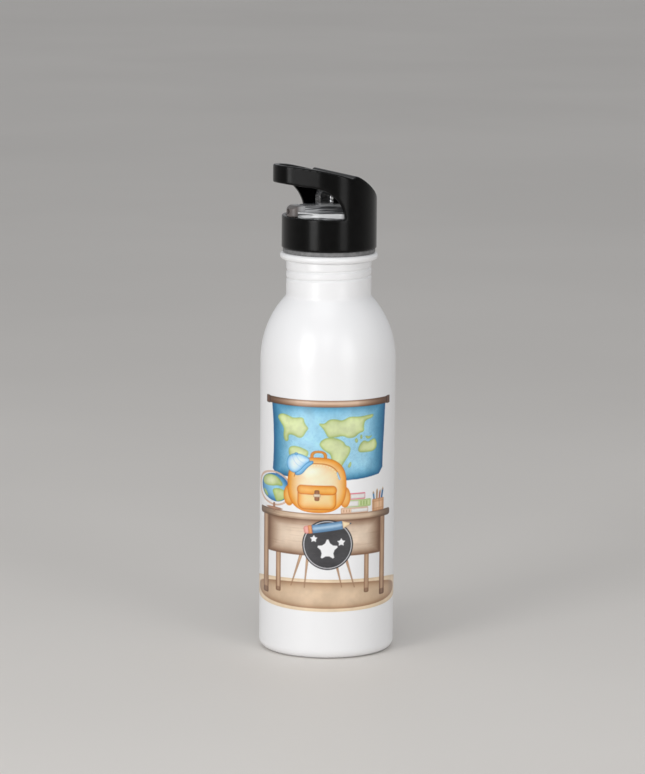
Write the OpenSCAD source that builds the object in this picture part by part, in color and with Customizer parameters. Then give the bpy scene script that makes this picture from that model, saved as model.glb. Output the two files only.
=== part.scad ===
// Drinking bottle with a screw lid, a flip spout, a straw and a finger loop.
// +Z is up, millimetres, origin at the centre of the base. The finger loop points along -X.

/* [Bottle] */
// Outer diameter of the body
body_d = 73; // [66:1:80]
// Height at which the body starts to curve in to the shoulder
body_h = 158; // [120:1:180]
// Radius of the rounded bottom edge
base_round = 5; // [3:0.5:6]
// Sheet thickness of the bottle
wall = 0.6; // [0.5:0.1:0.8]
// Outer radius of the neck
neck_r = 23; // [23:0.1:23.4]
// Profile radius of the shoulder
shoulder_r = 50.3; // [46:0.1:56]
// Straight length of the neck, up to the rolled rim
neck_len = 18.85; // [18.5:0.05:22]
// Thickness of the rolled rim
rim_t = 3.7; // [3.2:0.1:4]
// Rise of the recess under the base
base_rise = 2.5; // [1.5:0.1:3.5]

/* [Thread] */
// Axial distance between turns
pitch = 4.3; // [4:0.1:4.6]
// Turns of thread in the neck
neck_turns = 2.3; // [1.5:0.1:2.5]
// Turns of thread on the plug
plug_turns = 1.8; // [1:0.1:2]

/* [Lid] */
// Outer radius of the lid
lid_r = 25.5; // [25:0.1:26.5]
// Height of the skirt
skirt_h = 17.6; // [16:0.1:20]
// Wall of the lid
lid_wall = 2.3; // [1.8:0.1:2.5]
// Thickness of the gasket
gasket_t = 2.4; // [2:0.1:3]
// Depth of the dish in the top of the lid
dish_depth = 5.5; // [5.2:0.1:6]
// Radius of the loop's rounded front end, in plan
nose_r = 13; // [12.5:0.1:14]
// Distance from the lid's axis to the centre of that end
nose_u = 19.3; // [18.5:0.1:21]
// Radius of the finger hole
finger_r = 9.8; // [9:0.1:10]

/* [Spout] */
// Distance of the spout's pivot behind the lid's axis
pivot_back = 3; // [2.5:0.1:3.5]
// Height of the pivot above the skirt
pivot_h = 1; // [0.8:0.1:1.2]
// Radius of the spout's barrel
barrel_r = 5; // [4.5:0.1:5]
// Half of the spout's width
arm_w = 5.5; // [5:0.1:5.6]
// Height of the spout's top above the skirt
arm_top = 5.8; // [5.4:0.1:6]
// Reach of the spout in front of the lid's axis
arm_reach = 25; // [24:0.1:25.5]
// Angle between folded and upright
open_angle = 66; // [60:1:68]
// Radius of the drinking channel
channel_r = 1.5; // [1.3:0.05:1.6]

/* [Straw] */
// Outer diameter of the straw
straw_d = 7; // [6:0.1:7.5]
// Gap under the straw
straw_gap = 10; // [6:1:20]

/* [Hidden] */
$fn = 96;
eps = 0.05;

body_r = body_d / 2;
foot_r = 29;                                   // where the shell's foot meets the base pan
shoulder_x = body_r - shoulder_r;              // centre of the shoulder's arc
fillet_r = 3;                                  // between shoulder and neck
fillet_x = neck_r + fillet_r;
fillet_z = body_h + sqrt(pow(shoulder_r + fillet_r, 2) - pow(fillet_x - shoulder_x, 2));
fillet_a = atan2(fillet_z - body_h, fillet_x - shoulder_x);
rim_z = fillet_z + neck_len;                   // underside of the rolled rim
rim_top = rim_z + rim_t;
neck_in = neck_r - wall;

gasket_z = rim_top + eps;
skirt_z = rim_top + gasket_t;
lid_z = skirt_z + skirt_h;                     // top of the skirt, where the spout lies
deck_t = 1.8;
deck_z = lid_z - dish_depth - deck_t;
plate_t = 1.8;                                 // top plate of the plug, under the deck
plate_z = deck_z - plate_t;
bore_in = lid_r - lid_wall;

plug_r = 20.7;
plug_wall = 1.8;
plug_bottom = fillet_z + 10;
thread_z = rim_z - 5.1;                        // height of the neck's thread on the front side
thread_phase = 243;                            // direction of the front side
ridge_in = neck_in - 1.1;                      // crest of the neck's thread
ridge_out = neck_in - 0.4;                     // crest of the plug's thread

hood_back = 5;                                 // where the hood's top leaves the back wall
back_pull = 4.4;                               // how long the hood's curve follows the wall
crest_u = -3.2;                                // end of the hood's curve
crest_h = 22.9;
crest_pull = 4;                                // how long the curve stays level there
saddle_u = -1.7;
saddle_h = 21.4;
loop_r = 122;                                  // curve of the loop's top
nose_front = nose_u + nose_r;
loop_top = 28.2;
loop_under = 18.8;
arch_u = 21.2;                                 // centre of the arch in front of the cheeks
arch_h = -1.4;
arch_r = 18.3;
cavity_u = 12;                                 // the loop is solid in front of this
slot_w = arm_w + 1.3;                          // opening that the spout swings through
slot_back = -1;
finger_u = nose_front - 2.9 - finger_r;

pivot_z = lid_z + pivot_h;
pivot_x = pivot_back;
trunnion_r = 1.5;
trunnion_end = 9;
hinge_gap = 0.05;
side_gap = 0.5;
port_r = 1.75;
tip_u = 17;                                    // where the soft tip starts
channel_h = 2.7;                               // height of the channel above the skirt
core_h = 0.8;
tab_u = -1;                                    // back of the thumb tab
tab_r = 4;                                     // radius of its round top
tab_h = 13.8;
tab_w = 3;
core_t = 4;
cradle_h = 3;
cradle_floor = -0.6;
nipple_r = 3.2;
nipple_z = plate_z - 13;
socket_r = 5.2;
vent_u = -15;

function arc(x, y, r, a0, a1, n) =
    [for (i = [0:n]) let (a = a0 + (a1 - a0) * i / n) [x + r * cos(a), y + r * sin(a)]];

// Arc of radius r from p to q that bulges to the left of the line from p to q
function bow(p, q, r, n) =
    let (v = q - p, len = norm(v), m = (p + q) / 2, s = sqrt(r * r - len * len / 4),
         c = m + [v[1], -v[0]] * s / len,
         a0 = atan2(p[1] - c[1], p[0] - c[0]), a1 = atan2(q[1] - c[1], q[0] - c[0]))
    arc(c[0], c[1], r, a0, a1, n);

function reversed(a) = [for (i = [len(a) - 1:-1:0]) a[i]];

function shell_side(t) = concat(
    arc(body_r - base_round, base_round, base_round - t, -90, 0, 8),
    arc(shoulder_x, body_h, shoulder_r - t, 0, fillet_a, 16),
    arc(fillet_x, fillet_z, fillet_r + t, 180 + fillet_a, 180, 4));

// Closed strip of tapered section wound round the Z axis
module thread(root, crest, root_w, crest_w, turns, z_front) {
    steps = ceil(turns * 40);
    half = turns / 2;
    section = [[root, -root_w / 2], [crest, -crest_w / 2], [crest, crest_w / 2], [root, root_w / 2]];
    pts = [for (i = [0:steps]) let (t = -half + turns * i / steps, a = thread_phase + 360 * t)
           for (s = section) [s[0] * cos(a), s[0] * sin(a), z_front + pitch * t + s[1]]];
    ring = crest > root ? [3, 2, 1, 0] : [0, 1, 2, 3];
    sides = [for (i = [0:steps - 1], k = [0:3])
             let (a = ring[k], b = ring[(k + 1) % 4]) [4 * i + a, 4 * i + 4 + a, 4 * i + 4 + b, 4 * i + b]];
    ends = [[for (k = [0:3]) ring[k]], [for (k = [3:-1:0]) 4 * steps + ring[k]]];
    polyhedron(points = pts, faces = concat(sides, ends), convexity = 6);
}

// Places a shape drawn with its first axis towards the loop and its zero height at the skirt's top
module on_lid() { translate([0, 0, lid_z]) rotate([0, 0, 180]) children(); }

// Side outline, drawn as (towards the loop, up), extruded across the lid
module across(half) { rotate([90, 0, 0]) linear_extrude(2 * half, center = true) children(); }

module along_y(r, from, to) { translate([0, from, 0]) rotate([-90, 0, 0]) cylinder(r = r, h = to - from); }

// Plan of the hood and loop: two circles and the straight sides that touch both
module hood_plan() {
    a = acos((lid_r - nose_r) / nose_u);
    circle(r = lid_r);
    translate([nose_u, 0]) circle(r = nose_r);
    polygon([[0, 0], [lid_r * cos(a), -lid_r * sin(a)], [nose_u + nose_r * cos(a), -nose_r * sin(a)],
             [nose_u + nose_r * cos(a), nose_r * sin(a)], [lid_r * cos(a), lid_r * sin(a)]]);
}

// Top of the hood from the back wall to the crest, moved in by d
function hood_top(d) =
    let (p = [[-lid_r + d, hood_back], [-lid_r + d, hood_back + back_pull],
              [crest_u - crest_pull, crest_h - d], [crest_u, crest_h - d]])
    [for (i = [0:16]) let (t = i / 16, s = 1 - t)
     s * s * s * p[0] + 3 * s * s * t * p[1] + 3 * s * t * t * p[2] + t * t * t * p[3]];

module hood_side() {
    polygon(concat(
        [[-lid_r - 1, -2], [-lid_r - 1, hood_back]],
        hood_top(0),
        bow([saddle_u, saddle_h], [nose_front, loop_top], loop_r, 12),
        [[nose_front + 1, loop_top], [nose_front + 1, loop_under]],
        arc(arch_u, arch_h, arch_r, 90, 180 - asin(-arch_h / arch_r), 16),
        [[arch_u - arch_r + 0.1, -2]]));
}

module cavity_side() {
    polygon(concat(
        [[-lid_r, -dish_depth], [-lid_r, hood_back]],
        hood_top(lid_wall),
        [[saddle_u, saddle_h - lid_wall], [cavity_u, 22.8], [cavity_u, eps], [lid_r, eps], [lid_r, -dish_depth]]));
}

// Finger hole, and the slot that the spout swings through
module loop_opening() {
    translate([finger_u, 0]) circle(r = finger_r);
    polygon([[slot_back, -slot_w], [7, -slot_w], [finger_u - 3, -9.3], [finger_u, -finger_r],
             [finger_u, finger_r], [finger_u - 3, 9.3], [7, slot_w], [slot_back, slot_w]]);
}

// Plan of the soft tip, with its round end
module tip_plan() {
    translate([tip_u, -arm_w]) square([arm_reach - arm_w - tip_u, 2 * arm_w]);
    intersection() {
        translate([arm_reach - arm_w, 0]) circle(r = arm_w);
        translate([tip_u, -arm_w - 1]) square(2 * arm_w + 2);
    }
}

// Drinking channel, level along the spout and out of its round end
module channel() {
    translate([-pivot_back - 1, 0, channel_h]) rotate([0, 90, 0]) cylinder(r = channel_r, h = arm_reach + 10);
}

// Opening in the barrel that meets the seat's port when the spout stands up
module barrel_port() {
    translate([-pivot_back, 0, pivot_h]) rotate([0, open_angle - 180, 0])
        cylinder(r = channel_r - 0.3, h = barrel_r + 2);
}

// Side outline of the upright tab that a thumb pushes
module thumb_tab() {
    translate([tab_u, arm_top - 1]) square([2 * tab_r, tab_h - tab_r - arm_top + 1]);
    translate([tab_u + tab_r, tab_h - tab_r]) circle(r = tab_r);
}

// Core at the spout's end that carries the soft tip
module tip_core() { translate([tip_u - 1, -3.5, core_h]) cube([6.5, 7, core_t]); }

// White bottle: foot, body, shoulder, threaded neck and rolled rim
module bottle_shell() {
    color("white") {
        rotate_extrude($fn = 128) {
            polygon(concat([[foot_r, wall], [foot_r, 0]], shell_side(0), [[neck_r, rim_z + rim_t / 2],
                           [neck_in, rim_z + rim_t / 2]], reversed(shell_side(wall))));
            translate([neck_in + rim_t / 2 + 0.2, rim_z + rim_t / 2]) circle(r = rim_t / 2, $fn = 32);
        }
        thread(neck_in + wall / 3, ridge_in, 2.2, 1, neck_turns, thread_z);
    }
}

// Pressed disc that closes the foot, with its recess
module base_pan() {
    color("silver") rotate_extrude($fn = 128)
        polygon([[0, base_rise], [foot_r - 2.6, base_rise], [foot_r - 1, 0], [foot_r, 0], [foot_r, wall],
                 [foot_r - 0.7, wall], [foot_r - 2.3, base_rise + wall], [0, base_rise + wall]]);
}

// Grey ring between the rim and the lid
module neck_gasket() {
    color("dimgray") translate([0, 0, gasket_z]) difference() {
        cylinder(r = 24.8, h = gasket_t - 2 * eps);
        translate([0, 0, -1]) cylinder(r = plug_r + 0.3, h = gasket_t + 2);
    }
}

// Black lid: skirt, deck, hood with two cheeks, and the finger loop
module lid_cap() {
    color([0.1, 0.1, 0.1]) difference() {
        union() {
            translate([0, 0, skirt_z]) cylinder(r = lid_r, h = skirt_h);
            on_lid() intersection() {
                translate([0, 0, -2]) linear_extrude(32) hood_plan();
                across(lid_r) hood_side();
            }
        }
        translate([0, 0, skirt_z - 1]) cylinder(r = bore_in, h = deck_z - skirt_z + 1);
        on_lid() {
            intersection() {
                translate([0, 0, -dish_depth - 1]) cylinder(r = bore_in, h = 34);
                across(lid_r) cavity_side();
            }
            translate([0, 0, 8]) linear_extrude(24) loop_opening();
            translate([-pivot_back, 0, -10]) cylinder(r = port_r, h = 10);
            translate([vent_u, 0, -10]) cylinder(r = port_r, h = 10);
        }
    }
}

// Inner plug: flange, threaded wall, and the nipple for the straw
module threaded_plug() {
    color([0.15, 0.15, 0.16]) {
        difference() {
            union() {
                translate([0, 0, plug_bottom]) cylinder(r = plug_r, h = deck_z - plug_bottom);
                translate([0, 0, plate_z]) cylinder(r = bore_in, h = plate_t);
            }
            translate([0, 0, plug_bottom - 1]) cylinder(r = plug_r - plug_wall, h = plate_z - plug_bottom + 1);
            translate([pivot_x, 0, plate_z - 1]) cylinder(r = port_r, h = 4);
            translate([-vent_u, 0, plate_z - 1]) cylinder(r = port_r, h = 4);
        }
        translate([pivot_x, 0, nipple_z]) difference() {
            cylinder(r = nipple_r, h = plate_z - nipple_z + 0.2);
            translate([0, 0, -1]) cylinder(r = port_r, h = 20);
        }
        thread(plug_r - 0.5, ridge_out, 2.2, 0.9, plug_turns, thread_z + pitch / 2);
    }
}

// Clear insert in the lid's dish, slotted for the spout, with bearings for its trunnions
module spout_cradle() {
    slot = arm_w + side_gap;
    color([0.85, 0.9, 0.92, 0.4]) on_lid() difference() {
        translate([0, 0, -dish_depth]) cylinder(r = bore_in - 0.3, h = dish_depth + cradle_h);
        translate([-9.5, -slot, cradle_floor]) cube([40, 2 * slot, 10]);
        translate([-9.5, -slot, -dish_depth - 1]) cube([13, 2 * slot, 10]);
        translate([-pivot_back, 0, pivot_h]) along_y(trunnion_r + hinge_gap, -trunnion_end - 0.3, trunnion_end + 0.3);
        translate([vent_u, 0, -dish_depth - 1]) cylinder(r = 1.8, h = 20);
    }
}

// Soft seat under the barrel: its port is covered until the spout stands up
module spout_seat() {
    color("gainsboro") on_lid() translate([-pivot_back, 0, 0]) difference() {
        translate([-5, -5, -dish_depth]) cube([10, 10, 3.6]);
        translate([0, 0, pivot_h]) along_y(barrel_r + 0.3, -6, 6);
        translate([0, 0, -10]) cylinder(r = port_r, h = 12);
    }
}

// Mushroom valve that lets air in
module vent_valve() {
    color("gainsboro") translate([-vent_u, 0, 0]) difference() {
        union() {
            translate([0, 0, plate_z - 1.2]) cylinder(r = 3, h = 1.2);
            translate([0, 0, plate_z]) cylinder(r = port_r, h = plate_t + deck_t);
        }
        translate([0, 0, plate_z - 2]) cylinder(r = 0.5, h = 8);
    }
}

// Sleeve that joins the nipple and the straw
module straw_socket() {
    color("gainsboro") translate([pivot_x, 0, 0]) difference() {
        translate([0, 0, nipple_z - 10]) cylinder(r = socket_r, h = 18);
        translate([0, 0, nipple_z - 11]) cylinder(r = straw_d / 2, h = 11);
        translate([0, 0, nipple_z - 1]) cylinder(r = nipple_r, h = 20);
    }
}

// Straight drinking tube
module straw() {
    color([0.9, 0.93, 0.95, 0.6]) translate([pivot_x, 0, straw_gap]) difference() {
        cylinder(r = straw_d / 2, h = nipple_z - straw_gap - 0.2);
        translate([0, 0, -1]) cylinder(r = straw_d / 2 - 0.7, h = 250);
    }
}

// Clear spout: barrel, trunnions, arm, thumb tab and the core that carries the soft tip
module mouthpiece() {
    color([0.85, 0.9, 0.92, 0.4]) on_lid() difference() {
        union() {
            translate([-pivot_back, 0, pivot_h]) {
                along_y(barrel_r, -arm_w, arm_w);
                along_y(trunnion_r, -trunnion_end, trunnion_end);
            }
            translate([-pivot_back, -arm_w, 0]) cube([pivot_back + tip_u, 2 * arm_w, arm_top]);
            tip_core();
            across(tab_w) thumb_tab();
        }
        channel();
        barrel_port();
    }
}

// Soft tip on the end of the spout
module bite_tip() {
    color([0.45, 0.4, 0.4, 0.8]) on_lid() difference() {
        linear_extrude(arm_top) tip_plan();
        tip_core();
        channel();
        across(arm_w + 1)
            polygon([[arm_reach - 4, arm_top], [arm_reach + 1, arm_top - 2.3], [arm_reach + 1, arm_top + 1],
                     [arm_reach - 4, arm_top + 1]]);
    }
}

bottle_shell();
base_pan();
neck_gasket();
lid_cap();
threaded_plug();
spout_cradle();
spout_seat();
vent_valve();
straw_socket();
straw();
mouthpiece();
bite_tip();
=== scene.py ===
"""Looks of a kids water bottle: white coated metal body, printed picture, black lid, clear flip spout."""
import math

import bpy
import numpy as np
from mathutils import Matrix, Vector


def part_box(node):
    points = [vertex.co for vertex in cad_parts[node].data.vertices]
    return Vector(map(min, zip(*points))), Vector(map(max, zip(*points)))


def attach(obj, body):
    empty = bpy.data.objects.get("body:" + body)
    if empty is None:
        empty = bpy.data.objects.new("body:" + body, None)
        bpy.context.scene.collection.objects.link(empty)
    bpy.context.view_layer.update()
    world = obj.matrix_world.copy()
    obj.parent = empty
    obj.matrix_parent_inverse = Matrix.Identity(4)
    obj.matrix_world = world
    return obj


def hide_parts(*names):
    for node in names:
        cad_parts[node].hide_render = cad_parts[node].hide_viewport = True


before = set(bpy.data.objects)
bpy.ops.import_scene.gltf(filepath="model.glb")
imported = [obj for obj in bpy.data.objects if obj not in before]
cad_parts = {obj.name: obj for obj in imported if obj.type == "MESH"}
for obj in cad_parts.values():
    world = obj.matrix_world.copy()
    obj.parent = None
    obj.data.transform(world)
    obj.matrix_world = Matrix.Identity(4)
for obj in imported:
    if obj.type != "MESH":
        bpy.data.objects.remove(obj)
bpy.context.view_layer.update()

MM = 0.001

# Driving sizes, in millimetres, from the frame
BODY_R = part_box("bottle_shell")[1].x / MM
RIM_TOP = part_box("bottle_shell")[1].z / MM

# Sizes of the bottle that the frame's boxes don't give, in millimetres
BODY_H = 158.0            # straight part of the body
SHOULDER_R = 50.3         # profile radius of the shoulder
NECK_R = 23.0
FILLET_R = 3.0
WALL = 0.6
BASE_ROUND = 5.0
FOOT_R = 29.0
RIM_T = 3.7
PITCH = 4.3               # of the rolled thread
COAT = 0.05               # the drawn body stays this far inside the frame's
FRONT = math.radians(-27)     # direction that the picture faces, as a view azimuth

# Camera: where the photographer stood, in metres, and how the camera was turned
CAMERA_D = 2.2
CAMERA_H = 0.50
AIM_Z = 0.13
PAN, TILT, ROLL = (math.radians(a) for a in (0.075, 0.312, 0.45))
LENS = 192.2


def srgb(*c):
    """Linear colour of a 0 to 255 screen colour."""
    c = np.asarray(c, float) / 255
    return np.where(c <= 0.04045, c / 12.92, ((c + 0.055) / 1.055) ** 2.4)


# ---------------------------------------------------------------- materials

def material(name, color, roughness, **sockets):
    """A Principled material whose sockets are set by name, with underscores for spaces."""
    m = bpy.data.materials.new(name)
    m.use_nodes = True
    s = m.node_tree.nodes["Principled BSDF"]
    s.inputs["Base Color"].default_value = (*[float(c) for c in color], 1)
    s.inputs["Roughness"].default_value = roughness
    for key, value in sockets.items():
        s.inputs[key.replace("_", " ")].default_value = value
    return m


def node(m, kind, **inputs):
    n = m.node_tree.nodes.new(kind)
    for key, value in inputs.items():
        n.inputs[key.replace("_", " ")].default_value = value
    return n


def wire(m, a, b):
    m.node_tree.links.new(a, b)


def shader(m):
    return m.node_tree.nodes["Principled BSDF"]


def place(m, stretch=(1, 1, 1)):
    """Object coordinates, stretched."""
    c = node(m, "ShaderNodeTexCoord")
    p = node(m, "ShaderNodeMapping", Scale=stretch)
    wire(m, c.outputs["Object"], p.inputs["Vector"])
    return p.outputs["Vector"]


def speckle(m, size, stretch=(1, 1, 1), detail=3.0):
    """Noise whose lumps are about size metres across."""
    n = node(m, "ShaderNodeTexNoise", Scale=1 / size, Detail=detail)
    wire(m, place(m, stretch), n.inputs["Vector"])
    return n.outputs["Fac"]


def emboss(m, height, strength, distance):
    b = node(m, "ShaderNodeBump", Strength=strength, Distance=distance)
    wire(m, height, b.inputs["Height"])
    wire(m, b.outputs["Normal"], shader(m).inputs["Normal"])


def vary_roughness(m, fac, low, high):
    r = node(m, "ShaderNodeMapRange", To_Min=low, To_Max=high)
    wire(m, fac, r.inputs["Value"])
    wire(m, r.outputs["Result"], shader(m).inputs["Roughness"])


def tint(m, fac, low, high, start=0.35, stop=0.65):
    r = node(m, "ShaderNodeValToRGB")
    r.color_ramp.elements[0].color = (*[float(c) for c in low], 1)
    r.color_ramp.elements[1].color = (*[float(c) for c in high], 1)
    r.color_ramp.elements[0].position = start
    r.color_ramp.elements[1].position = stop
    wire(m, fac, r.inputs["Fac"])
    wire(m, r.outputs["Color"], shader(m).inputs["Base Color"])


def run_along(m, axis, start, stop, low, high, socket="Base Color"):
    """Runs a socket from low to high between two places along an axis, in metres."""
    split = node(m, "ShaderNodeSeparateXYZ")
    ramp = node(m, "ShaderNodeMapRange", From_Min=start, From_Max=stop)
    wire(m, place(m), split.inputs["Vector"])
    wire(m, split.outputs[axis], ramp.inputs["Value"])
    if socket == "Base Color":
        tint(m, ramp.outputs["Result"], low, high, 0.0, 1.0)
    else:
        ramp.inputs["To Min"].default_value, ramp.inputs["To Max"].default_value = low, high
        wire(m, ramp.outputs["Result"], shader(m).inputs[socket])


WHITE = srgb(240, 240, 241)


def coat(name):
    """White powder coat under a clear film: a fine orange peel."""
    m = material(name, WHITE, 0.34, Coat_Weight=0.35, Coat_Roughness=0.22)
    emboss(m, speckle(m, 0.0011), 0.05, 0.0002)
    vary_roughness(m, speckle(m, 0.012), 0.30, 0.38)
    return m


def make_materials():
    mats = {"white_coat": coat("white_coat"), "picture": coat("picture")}
    m = mats["picture"]
    paint = node(m, "ShaderNodeVertexColor")
    paint.layer_name = "picture"
    wire(m, paint.outputs["Color"], shader(m).inputs["Base Color"])

    m = mats["black_plastic"] = material("black_plastic", srgb(5, 5, 5), 0.2, Specular_IOR_Level=0.5,
                                         Specular_Tint=(0.26, 0.26, 0.26, 1))
    emboss(m, speckle(m, 0.00035, detail=6.0), 0.10, 0.0001)
    vary_roughness(m, speckle(m, 0.006), 0.18, 0.25)
    tint(m, speckle(m, 0.004), srgb(3, 3, 3), srgb(8, 8, 8))

    m = mats["plug_plastic"] = material("plug_plastic", srgb(34, 34, 36), 0.5)
    emboss(m, speckle(m, 0.0005), 0.1, 0.0001)
    tint(m, speckle(m, 0.003), srgb(28, 28, 30), srgb(38, 38, 40))

    m = mats["grey_silicone"] = material("grey_silicone", srgb(118, 118, 118), 0.55)
    emboss(m, speckle(m, 0.0004), 0.15, 0.0001)
    tint(m, speckle(m, 0.002), srgb(108, 108, 109), srgb(128, 128, 128))

    m = mats["pale_silicone"] = material("pale_silicone", srgb(218, 218, 214), 0.45, Subsurface_Weight=0.2,
                                         Subsurface_Scale=0.002)
    emboss(m, speckle(m, 0.0005), 0.1, 0.0001)
    tint(m, speckle(m, 0.003), srgb(210, 210, 205), srgb(225, 225, 222))

    m = mats["smoky_silicone"] = material("smoky_silicone", srgb(140, 135, 133), 0.3,
                                          Transmission_Weight=0.3, IOR=1.42)
    emboss(m, speckle(m, 0.0008), 0.12, 0.0002)
    run_along(m, "X", -0.0218, -0.0192, srgb(118, 111, 109), srgb(206, 206, 207))

    m = mats["clear_plastic"] = material("clear_plastic", (0.9, 0.91, 0.92), 0.06, IOR=1.49)
    # Stretched noise that gives both fine ripples in the surface and painted reflections: its near-black and
    # white streaks in the base colour stand in for the dark and bright reflections of the room and the
    # lamps.
    ripples_and_painted_reflections = speckle(m, 0.0011, (0.05, 0.08, 1), detail=2.0)
    emboss(m, ripples_and_painted_reflections, 0.4, 0.0005)
    tint(m, ripples_and_painted_reflections, (0.13, 0.135, 0.14), (0.98, 0.99, 1.0), 0.44, 0.54)
    run_along(m, "Z", 0.2412, 0.2428, 0.4, 0.96, "Transmission Weight")

    m = mats["straw_plastic"] = material("straw_plastic", (0.85, 0.9, 0.92), 0.15,
                                         Transmission_Weight=0.8, IOR=1.45)
    emboss(m, speckle(m, 0.001, (1, 1, 0.05)), 0.1, 0.0002)

    m = mats["bare_steel"] = material("bare_steel", srgb(190, 190, 190), 0.3, Metallic=1.0)
    emboss(m, speckle(m, 0.0004, (1, 1, 6)), 0.1, 0.0001)
    vary_roughness(m, speckle(m, 0.003), 0.24, 0.42)

    m = mats["floor"] = material("floor", srgb(226, 222, 217), 0.6)
    tint(m, speckle(m, 0.5), srgb(224, 220, 215), srgb(229, 225, 220))
    return mats


MATS = make_materials()


def dress(obj, name):
    obj.data.materials.clear()
    obj.data.materials.append(MATS[name])


# ---------------------------------------------------------------- mesh helpers

def add_object(name, mesh):
    obj = bpy.data.objects.new(name, mesh)
    bpy.context.scene.collection.objects.link(obj)
    return obj


def grid_object(name, points, wrap_rows=False, wrap_cols=True, keep=None):
    """A sheet of quads over points[row, column], in millimetres. keep picks the quads that are made."""
    rows, cols = points.shape[:2]
    i, j = np.meshgrid(np.arange(rows if wrap_rows else rows - 1),
                       np.arange(cols if wrap_cols else cols - 1), indexing="ij")
    i2, j2 = (i + 1) % rows, (j + 1) % cols
    quads = np.stack([i * cols + j, i * cols + j2, i2 * cols + j2, i2 * cols + j], -1)
    quads = quads.reshape(-1, 4) if keep is None else quads[keep]
    used, quads = np.unique(quads, return_inverse=True)
    quads = quads.reshape(-1, 4)
    mesh = bpy.data.meshes.new(name)
    mesh.vertices.add(len(used))
    mesh.vertices.foreach_set("co", (points.reshape(-1, 3)[used] * MM).astype(np.float32).ravel())
    mesh.loops.add(quads.size)
    mesh.loops.foreach_set("vertex_index", quads.astype(np.int32).ravel())
    mesh.polygons.add(len(quads))
    mesh.polygons.foreach_set("loop_start", np.arange(0, quads.size, 4, dtype=np.int32))
    mesh.polygons.foreach_set("use_smooth", np.ones(len(quads), bool))
    mesh.update(calc_edges=True)
    mesh.validate()
    return add_object(name, mesh), used


def around(profile, segments, push=None):
    """Points of a profile of (radius, height) turned about Z. push changes the radius."""
    profile = np.asarray(profile, float)
    a = np.linspace(0, 2 * math.pi, segments, endpoint=False)
    r, z = (np.broadcast_to(profile[:, k, None], (len(profile), segments)) for k in (0, 1))
    r = r if push is None else r + push(r, a[None, :], z)
    return np.stack([r * np.cos(a), r * np.sin(a), z], -1)


def arc(cx, cz, r, start, stop, steps):
    a = np.radians(np.linspace(start, stop, steps + 1))
    return list(zip(cx + r * np.cos(a), cz + r * np.sin(a)))


def line(r0, z0, r1, z1, steps):
    return list(zip(np.linspace(r0, r1, steps + 1)[1:], np.linspace(z0, z1, steps + 1)[1:]))


def moulded(name, source, voxel, passes):
    """A copy of a CAD node with its edges rounded as a mould leaves them. voxel is in millimetres."""
    obj = add_object(name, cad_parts[source].data.copy())
    remesh = obj.modifiers.new("voxels", "REMESH")
    remesh.mode = "VOXEL"
    remesh.voxel_size = voxel * MM
    soften = obj.modifiers.new("soften", "SMOOTH")
    soften.factor = 0.5
    soften.iterations = passes
    shape = bpy.data.meshes.new_from_object(obj.evaluated_get(bpy.context.evaluated_depsgraph_get()))
    obj.modifiers.clear()
    obj.data = shape
    shape.polygons.foreach_set("use_smooth", np.ones(len(shape.polygons), bool))
    return obj


# ---------------------------------------------------------------- bottle

THREAD_DROP = 5.1         # from under the rim to the thread, at the front
THREAD_HALF_W = 0.62
GROOVE_DEPTH, RIDGE_DEPTH = 0.6, 0.9
THREAD_START, THREAD_STOP, THREAD_FADE = -1.45, 0.62, 0.2     # in turns from the front


def thread_press(r, a, z):
    """The rolled thread: a groove outside the neck, which is a ridge inside it."""
    turn = (a - (FRONT - math.pi / 2)) / (2 * math.pi)
    front_z = RIM_TOP - RIM_T - THREAD_DROP
    lap = np.round((z - front_z) / PITCH - turn)
    along = turn + lap
    off = z - front_z - PITCH * along
    fade = (np.clip((along - THREAD_START) / THREAD_FADE, 0, 1)
            * np.clip((THREAD_STOP - along) / THREAD_FADE, 0, 1))
    depth = np.where(r > NECK_R - 0.25, GROOVE_DEPTH, RIDGE_DEPTH)
    return -depth * fade * np.exp(-(off / THREAD_HALF_W) ** 2) * (r < NECK_R + 0.1) * (z > BODY_H)


def bottle_profile():
    side = BODY_R - COAT
    shoulder_x = BODY_R - SHOULDER_R
    fillet_x = NECK_R + FILLET_R
    fillet_z = BODY_H + math.sqrt((SHOULDER_R + FILLET_R) ** 2 - (fillet_x - shoulder_x) ** 2)
    fillet_a = math.degrees(math.atan2(fillet_z - BODY_H, fillet_x - shoulder_x))
    rim_z = RIM_TOP - RIM_T
    rim_x = NECK_R - WALL + RIM_T / 2 + 0.2
    rim_mid = RIM_TOP - RIM_T / 2
    inner = NECK_R - WALL
    out = arc(BODY_R - BASE_ROUND, BASE_ROUND, BASE_ROUND - COAT, -90, 0, 14)
    out += line(side, BASE_ROUND, side, BODY_H, 40)
    out += arc(shoulder_x, BODY_H, SHOULDER_R - COAT, 0, fillet_a, 40)[1:]
    out += arc(fillet_x, fillet_z, FILLET_R + COAT, 180 + fillet_a, 180, 8)[1:]
    out += line(NECK_R - COAT, fillet_z, NECK_R - COAT, rim_z - 0.5, 76)
    out += [(NECK_R - 0.35, rim_z - 0.25), (NECK_R - 0.35, rim_z + 0.75)]     # gap behind the rim's edge
    out += arc(rim_x, rim_mid, RIM_T / 2 - 0.01, -148, 140, 30)
    back = arc(BODY_R - BASE_ROUND, BASE_ROUND, BASE_ROUND - WALL, -90, 0, 8)
    back += line(BODY_R - WALL, BASE_ROUND, BODY_R - WALL, BODY_H, 12)
    back += arc(shoulder_x, BODY_H, SHOULDER_R - WALL, 0, fillet_a, 16)[1:]
    back += arc(fillet_x, fillet_z, FILLET_R + WALL, 180 + fillet_a, 180, 4)[1:]
    back += line(inner, fillet_z, inner, rim_mid, 76)
    return [(FOOT_R, COAT)] + out + back[::-1] + [(FOOT_R, WALL)]


def make_bottle():
    obj, _ = grid_object("bottle_coated", around(bottle_profile(), 288, thread_press), wrap_rows=True)
    dress(obj, "white_coat")
    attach(obj, "bottle")
    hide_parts("bottle_shell")


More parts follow.
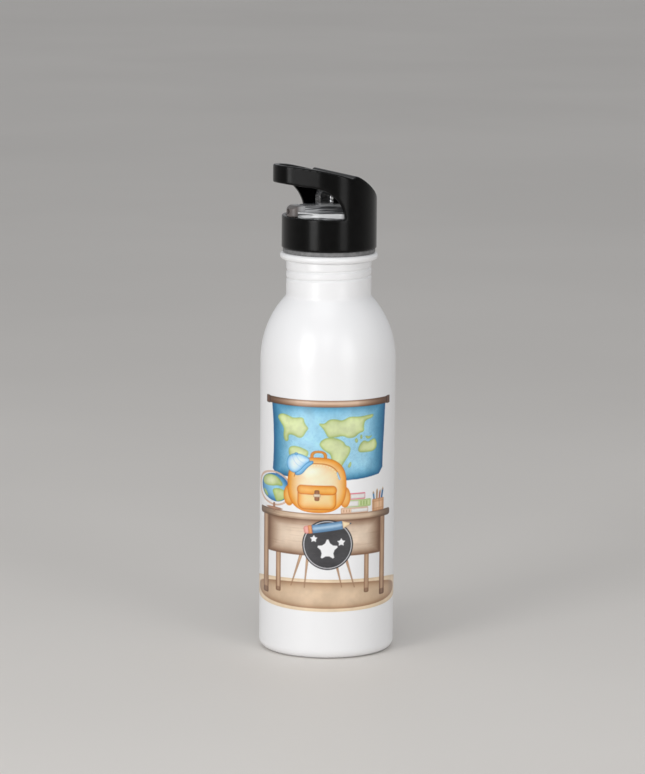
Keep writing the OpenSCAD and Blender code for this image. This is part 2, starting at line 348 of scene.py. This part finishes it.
def make_base():
    """Pressed pan with a rounded step and a shallow ring."""
    rise, step = 2.5, FOOT_R - 2.6
    low = [(0.01, rise), (8, rise), (8.6, rise - 0.25), (9.4, rise - 0.25), (10, rise)]
    low += [(step - 1.2, rise)] + arc(step - 0.8, rise - 0.8, 0.8, 90, 35, 5) + [(FOOT_R - 1.15, 0.35)]
    low += [(FOOT_R - 0.75, COAT), (FOOT_R - 0.02, COAT)]
    high = [(r, z + WALL) for r, z in low[:-2]] + [(FOOT_R - 0.7, WALL), (FOOT_R - 0.02, WALL)]
    obj, _ = grid_object("base_pressed", around(low + high[::-1], 160), wrap_rows=True)
    dress(obj, "bare_steel")
    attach(obj, "bottle")
    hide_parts("base_pan")


def make_gasket():
    lo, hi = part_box("neck_gasket")
    r_out, r_in, z0, z1 = hi.x / MM, 21.0, lo.z / MM, hi.z / MM
    e = 0.45
    ring = arc(r_out - e, z0 + e, e, -90, 0, 5) + arc(r_out - e, z1 - e, e, 0, 90, 5)
    ring += arc(r_in + e, z1 - e, e, 90, 180, 4) + arc(r_in + e, z0 + e, e, 180, 270, 4)
    obj, _ = grid_object("gasket_ring", around(ring, 192), wrap_rows=True)
    dress(obj, "grey_silicone")
    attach(obj, "seal")
    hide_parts("neck_gasket")


# ---------------------------------------------------------------- lid

# copy, CAD node, voxel in millimetres, smoothing passes, body, slot
MOULDED = [
    ("lid_moulded", "lid_cap", 0.45, 9, "lid", "black_plastic"),
    ("cradle_clear", "spout_cradle", 0.3, 6, "lid", "clear_plastic"),
    ("spout_clear", "mouthpiece", 0.22, 7, "mouthpiece", "clear_plastic"),
    ("tip_soft", "bite_tip", 0.2, 25, "mouthpiece", "smoky_silicone"),
]
KEPT = {"threaded_plug": "plug_plastic", "spout_seat": "pale_silicone", "vent_valve": "pale_silicone",
        "straw_socket": "pale_silicone", "straw": "straw_plastic"}


def make_lid():
    for name, source, voxel, passes, body, slot in MOULDED:
        obj = moulded(name, source, voxel, passes)
        dress(obj, slot)
        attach(obj, body)
        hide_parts(source)
    for name, look in KEPT.items():
        dress(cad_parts[name], look)


# ---------------------------------------------------------------- picture

# The picture is drawn in millimetres: x across the front as seen from in front, z up. s runs round the
# body. The lists of points below are shapes in those millimetres.
CELL = 0.26
BLUR = 0.34               # width of a drawn edge
S_END, Z_LOW, Z_HIGH = 66.0, 25.0, 142.0
S, Z = np.meshgrid(np.arange(-S_END, S_END, CELL), np.arange(Z_LOW, Z_HIGH, CELL))
SIDE = math.radians(62)   # from here on the picture runs on round the side at a steady pace
TURN = np.abs(S / BODY_R)
X = np.sign(S) * BODY_R * (np.sin(np.minimum(TURN, SIDE)) + np.maximum(TURN - SIDE, 0) * math.cos(SIDE))
CANVAS = np.ones(X.shape + (3,))


def noise(x, z, seed, octaves=3):
    """Smooth random field between -1 and 1 with lumps one unit across."""
    total, weight, height = np.zeros_like(x), 0.0, 1.0
    for k in range(octaves):
        grid = np.random.default_rng(seed + k).uniform(-1, 1, (64, 64))
        u, v = x * 2 ** k + 7.3 * k, z * 2 ** k + 3.1 * k
        i, j = np.floor(u).astype(int), np.floor(v).astype(int)
        fu, fv = u - i, v - j
        fu, fv = fu * fu * (3 - 2 * fu), fv * fv * (3 - 2 * fv)
        near = grid[i % 64, j % 64] * (1 - fu) + grid[(i + 1) % 64, j % 64] * fu
        far = grid[i % 64, (j + 1) % 64] * (1 - fu) + grid[(i + 1) % 64, (j + 1) % 64] * fu
        total += height * (near * (1 - fv) + far * fv)
        weight += height
        height *= 0.55
    return total / weight


WASH = noise(S / 5, Z / 5, 11, 4)
FIBRE = noise(S / 0.8, Z / 0.8, 31, 2)


def turned(x, z, cx, cz, degrees):
    c, s = math.cos(math.radians(degrees)), math.sin(math.radians(degrees))
    return (x - cx) * c + (z - cz) * s, -(x - cx) * s + (z - cz) * c


def oval(cx, cz, a, b, degrees=0.0, power=2.0, x=None):
    u, v = turned(X if x is None else x, Z, cx, cz, degrees)
    return ((np.abs(u / a) ** power + np.abs(v / b) ** power) ** (1 / power) - 1) * min(a, b)


def box(x0, z0, x1, z1, corner=0.3, degrees=0.0):
    """Distance to a rounded box, turned about its middle."""
    u, v = turned(X, Z, (x0 + x1) / 2, (z0 + z1) / 2, degrees)
    p, q = np.abs(u) - abs(x1 - x0) / 2 + corner, np.abs(v) - abs(z1 - z0) / 2 + corner
    return np.hypot(np.maximum(p, 0), np.maximum(q, 0)) + np.minimum(np.maximum(p, q), 0) - corner


def stick(x0, z0, x1, z1, w0, w1):
    """Distance to a straight bar whose width goes from w0 to w1."""
    dx, dz = x1 - x0, z1 - z0
    t = np.clip(((X - x0) * dx + (Z - z0) * dz) / (dx * dx + dz * dz), 0, 1)
    return np.hypot(X - x0 - t * dx, Z - z0 - t * dz) - (w0 + (w1 - w0) * t) / 2


def rounded(points, passes=2):
    """Cuts a closed outline's corners off, which leaves a smooth outline."""
    p = np.asarray(points, float)
    for _ in range(passes):
        n = np.roll(p, -1, 0)
        p = np.stack([0.75 * p + 0.25 * n, 0.25 * p + 0.75 * n], 1).reshape(-1, 2)
    return p


def outline(points, passes=2):
    """Distance to a closed outline."""
    p = rounded(points, passes)
    lo, hi = p.min(0) - 3, p.max(0) + 3
    near = (X > lo[0]) & (X < hi[0]) & (Z > lo[1]) & (Z < hi[1])
    x, z = X[near], Z[near]
    best, inside = np.full(x.shape, 9.0), np.zeros(x.shape, bool)
    for a, b in zip(p, np.roll(p, -1, 0)):
        dx, dz = b - a
        t = np.clip(((x - a[0]) * dx + (z - a[1]) * dz) / (dx * dx + dz * dz + 1e-9), 0, 1)
        best = np.minimum(best, np.hypot(x - a[0] - t * dx, z - a[1] - t * dz))
        inside ^= ((a[1] > z) != (b[1] > z)) & (x < a[0] + (z - a[1]) * dx / (dz if dz else 1e-9))
    d = np.full(X.shape, 9.0)
    d[near] = np.where(inside, -best, best)
    return d


def cover(d, blur=BLUR):
    return np.clip(0.5 - d / blur, 0, 1)


def ends(middle, start, reach):
    """0 near the middle of x, then up to 1 over reach from start millimetres away."""
    return np.clip((np.abs(X - middle) - start) / reach, 0, 1)


def lay(color, amount):
    CANVAS[...] += (np.asarray(color, float) / 255 - CANVAS) * np.clip(amount, 0, 1)[..., None]


def wash(d, core, edge, reach, grain=0.05, clip=1.0):
    """Watercolour: core colour in the middle that darkens to the edge colour over reach millimetres."""
    t = np.exp(np.minimum(d, 0) / reach)[..., None]
    tone = np.asarray(core, float) * (1 - t) + np.asarray(edge, float) * t
    tone = tone / 255 * (1 + grain * WASH[..., None])
    CANVAS[...] += (np.clip(tone, 0, 1) - CANVAS) * (cover(d) * clip)[..., None]


def stroke(d, color, width, amount=1.0):
    """A line along the edge of a shape."""
    lay(color, cover(np.abs(d) - width / 2) * amount)


def wood(d, core, edge, reach, along_x, lines=0.16):
    """Watercolour wood with its grain along x or along z."""
    grain = noise(S / 14, Z / 0.55, 51) if along_x else noise(S / 0.55, Z / 14, 61)
    wash(d, core, edge, reach, 0.04)
    lay((120, 86, 62), cover(d) * np.clip(grain * 1.6 - 0.25, 0, 1) * lines * 2.2)


TAN, BROWN = (226, 197, 168), (150, 112, 84)


def paint_rug():
    rug = oval(0, 35.1, 63, 8.8, power=2.25, x=S)
    wash(rug, (236, 214, 184), (216, 190, 156), 0.5)
    wash(rug + 1.7, (221, 196, 167), (170, 132, 100), 1.5)
    lay((168, 134, 104), cover(rug + 1.7) * np.clip((Z - 37) / 6, 0, 1) * 0.35)


def paint_map():
    sheet = outline([(-28.9, 128), (-28.6, 118), (-28.7, 108), (-29.2, 99.6), (-22, 98.8), (-10, 98.1),
                     (2, 97.8), (14, 97.9), (22, 98.6), (29.4, 100.0), (29.6, 112), (30.2, 124),
                     (30.6, 136), (30.9, 139.4),
                     (27, 139.2), (0, 138.6), (-27, 139.2), (-29.8, 139.4), (-29.5, 136)], 1)
    wash(sheet, (178, 226, 246), (34, 118, 160), 3.4, 0.07)
    threads = np.sin(S * 2 * math.pi / 0.95) * np.sin(Z * 2 * math.pi / 0.95)
    lay((20, 84, 140), cover(sheet) * np.clip(threads + FIBRE * 0.7, 0, 1) * 0.17)
    stroke(sheet + 0.1, (34, 96, 150), 0.3, 0.7)
    lay((28, 104, 150), cover(sheet) * ends(0.8, 19, 11) * 0.42)
    for land in LANDS:
        d = outline(land)
        wash(d, (214, 224, 174), (170, 190, 104), 0.8, 0.10)
        stroke(d, (150, 176, 100), 0.2, 0.35)
    lay((120, 146, 84), cover(sheet) * np.clip(threads, 0, 1) * 0.05)


# Coarse continents, in picture millimetres
LANDS = [
    [(-26.8, 130.6), (-24.6, 132.6), (-20.8, 131.8), (-18.6, 130.6), (-12.8, 131.6), (-12.4, 128.4),
     (-10, 125.6), (-11.4, 124), (-13, 120.9), (-15.2, 120), (-18.2, 121.6), (-21, 121.6),
     (-20.6, 118.2), (-22.6, 117.4), (-23.6, 120.6), (-23, 124.6), (-25.4, 128)],
    [(-20.6, 115), (-16.4, 115.8), (-11, 114), (-9.8, 112.4), (-12, 108), (-15, 103), (-18, 106),
     (-20.6, 110.6)],
    [(-5.2, 128.6), (-1.6, 128.2), (0.6, 130.6), (4, 131), (8, 129.8), (11.6, 132.2), (16.6, 131.6),
     (21.6, 132.2), (24.6, 132.6), (24, 130.6), (20, 129.8), (19.2, 126.4), (19.6, 123.6),
     (16.8, 123), (14.6, 120.8), (11, 120.4), (8.4, 122), (4.6, 121.2), (0.6, 120.6), (-0.8, 123),
     (-2.2, 125.6)],
    [(-4.6, 117.2), (-2.6, 119.8), (0.4, 121), (5.2, 120.6), (8.8, 118.6), (9.6, 116.6),
     (12.4, 115.8), (12, 112.2), (9, 107.8), (6.8, 103.6), (4.6, 103.2), (2.4, 107), (2, 112),
     (-2, 114)],
    [(16.2, 112.6), (16.8, 116), (19.2, 119), (21.6, 117.6), (23.4, 118.6), (25.4, 119.4),
     (26.6, 115.6), (25.2, 112.6), (20.6, 112.2)],
    [(10.8, 105.4), (12.6, 108.2), (12.8, 105.6), (11.6, 104.2)],
    [(20, 121.4), (22.4, 120.4), (24, 121.2), (22.6, 119.4), (20.8, 119.6)],
    [(14.4, 119.4), (15.6, 120.6), (16.4, 118.6), (15.4, 117.4)],
    [(17.4, 121.6), (18.4, 122), (18.6, 119.8), (17.6, 119.6)],
]


def paint_roller():
    rod = box(-32.0, 137.2, 32.6, 140.8, 1.0)
    wood(rod, (222, 188, 160), (128, 90, 68), 0.8, True)
    lay((246, 228, 208), cover(np.abs(Z - 139.6) - 0.5, 1.4) * cover(rod) * 0.6)
    lay((88, 60, 44), cover(rod) * ends(0, 16, 15) * 0.75)
    for end in (-31.6, 32.2):
        wash(box(end - 0.9, 136.9, end + 0.9, 141.1, 0.5), (140, 104, 82), (70, 46, 34), 0.5)


def paint_globe():
    cx, cz, r = -27.7, 91.6, 7.5
    ring = np.abs(oval(cx - 0.5, cz - 0.5, r + 1.3, r + 1.4)) - 0.45
    wash(ring, (238, 212, 196), (190, 150, 128), 0.4)
    stem = stick(cx - 0.6, 79.4, cx - 0.6, cz - r - 1.2, 1.3, 1.0)
    wood(stem, (206, 164, 138), (150, 110, 88), 0.4, False)
    wash(oval(cx - 0.4, 80.3, 4.2, 0.8), (206, 164, 138), (150, 110, 88), 0.4)
    ball = oval(cx, cz, r, r)
    wash(ball, (160, 214, 240), (36, 116, 176), 2.2, 0.08)
    inside = cover(ball)
    for land in ([(-34.5, 96), (-31, 98.4), (-27, 98), (-24, 95), (-23.6, 92.8), (-27, 93), (-29, 92),
                  (-34.4, 91.6)],
                 [(-29.6, 90.6), (-25, 91.8), (-21.8, 90), (-22, 87), (-25, 84.6), (-27, 83.6), (-28.4, 87)],
                 [(-34.6, 89.6), (-32.6, 89), (-31.2, 85.6), (-33, 86.4)]):
        wash(outline(land), (206, 218, 158), (160, 186, 96), 0.9, 0.1, clip=inside)
    lay((255, 255, 255), cover(oval(cx - 2.4, cz + 3.2, 2.6, 1.8, 30), 3.0) * inside * 0.35)
    stroke(ball, (40, 110, 165), 0.25, 0.6)


def paint_bag():
    """A round orange school bag with a light-blue cap hung on its corner."""
    handle = np.abs(oval(-4.6, 110.6, 3.6, 2.6, power=2.4)) - 0.6
    wash(handle, (238, 170, 70), (206, 118, 20), 0.4)
    for side in (-20.3, 9.6):
        wash(oval(side, 88.6, 2.9, 5.6), (246, 196, 120), (224, 132, 24), 1.0)
    body = oval(-5.4, 95.1, 15.6, 14.9, power=2.7)
    wash(body, (248, 226, 196), (236, 146, 22), 3.0, 0.05)
    stroke(body, (208, 116, 18), 0.3, 0.7)
    seam = np.abs(oval(-5.4, 94.2, 12.6, 12.6, power=2.6)) - 0.22
    lay((196, 110, 30), cover(seam) * cover(99 - Z, 1.0) * 0.85)
    stitch = (np.sin(np.arctan2(Z - 94.2, X + 5.4) * 46) > 0) * 1.0
    thread = cover(np.abs(oval(-5.4, 94.2, 11.7, 11.7, power=2.6)) - 0.16)
    lay((255, 238, 206), thread * stitch * cover(99 - Z, 1.0) * 0.8)
    pocket = box(-15.6, 81.9, 4.8, 93.6, 3.6)
    wash(pocket, (250, 214, 160), (232, 142, 28), 1.7)
    stroke(pocket, (198, 108, 20), 0.3, 0.8)
    flap = box(-15.9, 90.0, 5.1, 94.8, 2.2)
    wash(flap, (246, 190, 104), (226, 130, 18), 0.9)
    stroke(flap, (196, 106, 20), 0.28, 0.7)
    wash(box(-6.7, 86.6, -4.1, 92.4, 0.8), (186, 130, 92), (126, 80, 54), 0.5)
    wash(box(-7.3, 88.6, -3.5, 90.4, 0.5), (240, 226, 204), (170, 140, 112), 0.4)
    wash(stick(5.4, 102.0, 6.6, 98.6, 0.7, 1.0), (214, 232, 246), (96, 160, 208), 0.3)
    lay((255, 250, 240), cover(oval(-8.5, 102.6, 5.0, 2.2, 12), 3.0) * cover(body) * 0.5)


def paint_cap():
    brim = outline([(-8.2, 108.6), (-7.0, 107.2), (-10.6, 104.6), (-13.6, 100.4), (-17.4, 99.8),
                    (-16.8, 102.2), (-12.6, 106)])
    wash(brim, (150, 206, 240), (70, 146, 200), 0.8)
    stroke(brim, (62, 128, 180), 0.22, 0.8)
    dome = outline([(-21.8, 106.4), (-20.6, 110.2), (-16.8, 111.9), (-12.2, 111.0), (-8.6, 108.6),
                    (-11.8, 106.2), (-14.6, 102.6), (-17.6, 100.9), (-20.8, 102.6)])
    wash(dome, (232, 240, 248), (112, 182, 226), 1.5)
    u, v = turned(X, Z, -15.4, 106.4, 52)
    for bend in (-0.9, 1.6):
        rib = np.abs(u - bend - 0.08 * v ** 2) - 0.1
        lay((120, 178, 218), cover(rib) * cover(dome) * 0.6)
    stroke(dome, (70, 140, 192), 0.25, 0.85)
    wash(oval(-16.6, 111.5, 0.9, 0.7), (140, 196, 232), (70, 140, 192), 0.4)


def paint_books():
    # left end, lower edge, right end, upper edge, cover, dark cover, whether the spine is on the left
    for x0, z0, x1, z1, tone, dark, left in (
            (7.4, 79.6, 22.0, 82.7, (236, 206, 178), (190, 140, 110), True),
            (9.0, 82.9, 23.4, 86.9, (206, 222, 166), (150, 176, 100), False),
            (7.0, 87.1, 20.4, 90.6, (240, 150, 165), (214, 92, 116), True)):
        wash(box(x0, z0, x1, z1, 0.5), tone, dark, 0.4)
        spine = 5.6 if left else -6.6
        a, b = (x0 + spine, x1 - 0.2) if left else (x0 + 0.2, x1 + spine)
        pages = box(a, z0 + 0.5, b, z1 - 0.6, 0.2)
        wash(pages, (240, 238, 234), (206, 200, 194), 0.4)
        lay((190, 184, 180), cover(pages) * (np.sin(Z * 2 * math.pi / 0.55) > 0.3) * 0.35)
        at = x0 + 1.2 if left else x1 - 5.6
        for k in range(3):
            lay(dark, cover(box(at + 1.5 * k, z0 + 0.8, at + 1.5 * k + 0.8, z1 - 0.9, 0.3)) * 0.55)


def paint_pencils():
    # foot, top and colour of each pencil, across and up
    for x0, x1, z1, tone in ((25.4, 24.8, 89.6, (96, 160, 210)), (26.6, 26.8, 90.6, (214, 170, 120)),
                             (27.8, 28.4, 89.8, (226, 146, 130)), (29.0, 29.8, 90.8, (74, 140, 196))):
        wash(stick(x0, 84, x1, z1, 0.9, 0.8), tone, tuple(int(c * 0.7) for c in tone), 0.3)
        point = stick(x1, z1 - 0.2, x1 + (x1 - x0) * 0.15, z1 + 1.0, 0.7, 0.15)
        wash(point, (240, 216, 180), (190, 150, 110), 0.3)
    cup = box(24.2, 79.6, 30.4, 86.2, 0.5)
    wood(cup, (238, 198, 160), (206, 146, 102), 0.7, False)
    for z in (81.0, 84.8):
        lay((196, 140, 100), cover(np.abs(Z - z) - 0.25) * cover(cup) * 0.5)


def paint_desk():
    for x0, x1, low in ((-27.1, -24.6, 35.6), (20.2, 22.6, 35.9)):
        wood(box(x0, low, x1, 60, 0.7), (222, 192, 162), (140, 100, 74), 0.6, False)
        lay((110, 78, 58), cover(box(x0, low, x1, low + 2.4, 0.7)) * 0.35)
    for x0, z0, x1, z1 in ((-13.4, 58, -19.0, 39.7), (-10.0, 58, -11.8, 39.2), (4.4, 56, 8.2, 39.8),
                           (9.6, 58, 15.0, 39.4)):
        wood(stick(x0, z0, x1, z1, 1.7, 0.4), (218, 186, 154), (156, 118, 90), 0.4, False, 0.1)
    panel = box(-31.4, 56.7, 28.6, 77, 0.6)
    wash(panel, (236, 216, 194), (132, 96, 72), 2.8, 0.05)
    lay((128, 90, 66), cover(panel) * np.clip(noise(S / 16, Z / 0.8, 71) - 0.2, 0, 1) * 0.22)
    lay((120, 84, 62), cover(panel) * np.clip((Z - 72) / 5, 0, 1) * 0.35)
    lay((112, 80, 58), cover(panel) * ends(-1.4, 23, 7) * 0.32)
    for x0, x1 in ((-33.9, -31.2), (28.4, 30.9)):
        wood(box(x0, 33.3, x1, 78, 0.7), (220, 188, 158), (126, 90, 66), 0.7, False)
        lay((96, 66, 50), cover(box(x0, 33.3, x1, 36.4, 0.7)) * 0.4)
    top = box(-35.9, 76.0, 33.6, 79.7, 1.1)
    wood(top, (228, 204, 178), (122, 88, 66), 0.7, True)
    lay((248, 228, 204), cover(np.abs(Z - 78.9) - 0.4, 1.2) * cover(top) * 0.5)
    lay((84, 60, 44), cover(top) * ends(-1, 24, 12) * 0.8)


def paint_badge():
    cx, cz, r = 0.5, 62.8, 13.6
    disc = oval(cx, cz, r, r)
    wash(disc, (86, 85, 88), (58, 58, 62), 1.2, 0.10)
    lay((104, 103, 106), cover(disc) * np.clip(noise(S / 2.2, Z / 0.7, 81) - 0.1, 0, 1) * 0.5)
    stroke(disc + 0.9, (236, 236, 238), 0.42, 0.9)
    reach = [1, 0.46] * 5        # of a star's five tips and the five corners between them
    for sx, sz, size in ((0.5, 60.2, 6.6), (-6.9, 66.0, 2.3), (7.8, 64.2, 2.5)):
        tips = [(sx + size * reach[k] * math.sin(k * math.pi / 5),
                 sz + size * reach[k] * math.cos(k * math.pi / 5)) for k in range(10)]
        lay((250, 250, 250), cover(outline(tips, 1)) * (0.94 + 0.05 * FIBRE))
    paint_long_pencil(cx, 72.4)


def paint_long_pencil(cx, cz):
    """The blue pencil that lies across the badge and rises to the right."""
    tilt = 8.4
    slope = math.tan(math.radians(tilt))

    def part(x0, x1, width, corner=0.3, lift=0.0):
        z = cz + lift + slope * ((x0 + x1) / 2 - cx)
        return box(x0, z - width / 2, x1, z + width / 2, corner, tilt)

    wash(part(-12.3, -9.2, 4.3, 1.4), (240, 186, 176), (214, 132, 124), 0.8)
    wash(part(-9.9, -7.8, 4.5), (240, 176, 120), (206, 120, 70), 0.6)
    nib = outline([(8.1, cz + 2.2 + slope * 8), (13.4, cz + slope * 13), (8.5, cz - 2.2 + slope * 8)], 0)
    wash(nib, (246, 224, 188), (206, 170, 128), 0.5)
    lay((84, 100, 116), cover(nib) * cover(12.2 - X))
    wash(part(-7.9, 8.5, 4.5), (146, 182, 212), (86, 128, 166), 0.8)
    lay((190, 214, 232), cover(part(-7.7, 8.4, 1.2, lift=0.2)) * 0.6)
    lay((90, 128, 164), cover(part(-7.7, 8.3, 0.24, 0.1, lift=-1.3)) * 0.7)


PRINT_LIFT = 0.03         # of the print off the coated body
BARE = 0.995              # paler than this is bare coat
SATURATION = 0.86
CONTRAST, MID_TONE = 1.3, 0.66


def make_picture():
    for step in (paint_rug, paint_map, paint_roller, paint_desk, paint_globe, paint_books,
                 paint_pencils, paint_bag, paint_cap, paint_badge):
        step()
    print_r = BODY_R - COAT + PRINT_LIFT
    a = FRONT - math.pi / 2 + S / BODY_R
    points = np.stack([print_r * np.cos(a), print_r * np.sin(a), Z], -1)
    inked = CANVAS.min(-1) < BARE
    inked[:, 0] = inked[:, -1] = inked[0] = inked[-1] = False
    keep = inked[:-1, :-1] | inked[1:, :-1] | inked[:-1, 1:] | inked[1:, 1:]
    obj, used = grid_object("printed_picture", points, wrap_cols=False, keep=keep)
    ink = CANVAS.reshape(-1, 3)[used]
    grey = ink.mean(1, keepdims=True)
    ink = grey + (ink - grey) * SATURATION
    ink = np.clip(MID_TONE + (ink - MID_TONE) * CONTRAST, 0, 1)
    linear = srgb(*(ink.T * 255)).T * WHITE
    layer = obj.data.color_attributes.new("picture", "FLOAT_COLOR", "POINT")
    layer.data.foreach_set("color", np.c_[linear, np.ones(len(used))].astype(np.float32).ravel())
    dress(obj, "picture")
    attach(obj, "bottle")


# ---------------------------------------------------------------- stage

BACK = Vector((math.sin(FRONT), -math.cos(FRONT), 0))    # from the bottle towards the camera
RIGHT = Vector((math.cos(FRONT), math.sin(FRONT), 0))
UP = Vector((0, 0, 1))


FLOOR_HALF = 30.0
WORLD_COLOR, WORLD_STRENGTH = (0.97, 0.98, 1.0, 1), 0.44
LAMP_AIM = Vector((0, 0, 0.14))
# name, degrees to the right of the camera, distance, height, width and length in metres, power in watts
LAMPS = [
    ("key", -37, 1.5, 0.35, 0.5, 1.1, 10.4),
    ("front", 0, 1.9, 1.1, 0.8, 0.5, 2.5),
    ("fill", 35, 1.6, 0.35, 0.5, 1.2, 5.8),
    ("overhead", -20, 0.5, 1.7, 1.0, 1.0, 4.5),
]


def soft_box(name, degrees, distance, height, width, tall, power):
    """A rectangular light that faces the bottle."""
    lamp = bpy.data.lights.new(name, "AREA")
    lamp.shape = "RECTANGLE"
    lamp.size, lamp.size_y, lamp.energy = width, tall, power
    obj = bpy.data.objects.new(name, lamp)
    bpy.context.scene.collection.objects.link(obj)
    a = math.radians(degrees)
    obj.location = (BACK * math.cos(a) + RIGHT * math.sin(a)) * distance + UP * height
    obj.rotation_euler = (LAMP_AIM - obj.location).to_track_quat("-Z", "Y").to_euler()


def make_stage():
    h = FLOOR_HALF
    mesh = bpy.data.meshes.new("floor")
    mesh.from_pydata([(-h, -h, 0), (h, -h, 0), (h, h, 0), (-h, h, 0)], [], [(0, 1, 2, 3)])
    floor = add_object("floor", mesh)
    dress(floor, "floor")
    world = bpy.data.worlds.new("studio")
    world.use_nodes = True
    world.node_tree.nodes["Background"].inputs["Color"].default_value = WORLD_COLOR
    world.node_tree.nodes["Background"].inputs["Strength"].default_value = WORLD_STRENGTH
    bpy.context.scene.world = world
    for lamp in LAMPS:
        soft_box(*lamp)
    bpy.context.scene.view_settings.view_transform = "Standard"


def make_camera():
    cam = bpy.data.cameras.new("camera")
    cam.sensor_width, cam.lens = 36.0, LENS
    cam.clip_start, cam.clip_end = 0.05, 100
    obj = bpy.data.objects.new("camera", cam)
    bpy.context.scene.collection.objects.link(obj)
    obj.location = BACK * CAMERA_D + UP * CAMERA_H
    ahead = (Vector((0, 0, AIM_Z)) - obj.location).normalized()
    across = ahead.cross(UP).normalized()
    over = across.cross(ahead)
    ahead = (ahead + over * math.tan(TILT) - across * math.tan(PAN)).normalized()
    across = ahead.cross(UP).normalized()
    over = across.cross(ahead)
    top = over * math.cos(ROLL) - across * math.sin(ROLL)
    side = ahead.cross(top)
    obj.rotation_euler = Matrix((side, top, -ahead)).transposed().to_euler()
    bpy.context.scene.camera = obj


make_bottle()
make_base()
make_gasket()
make_lid()
make_picture()
make_stage()
make_camera()
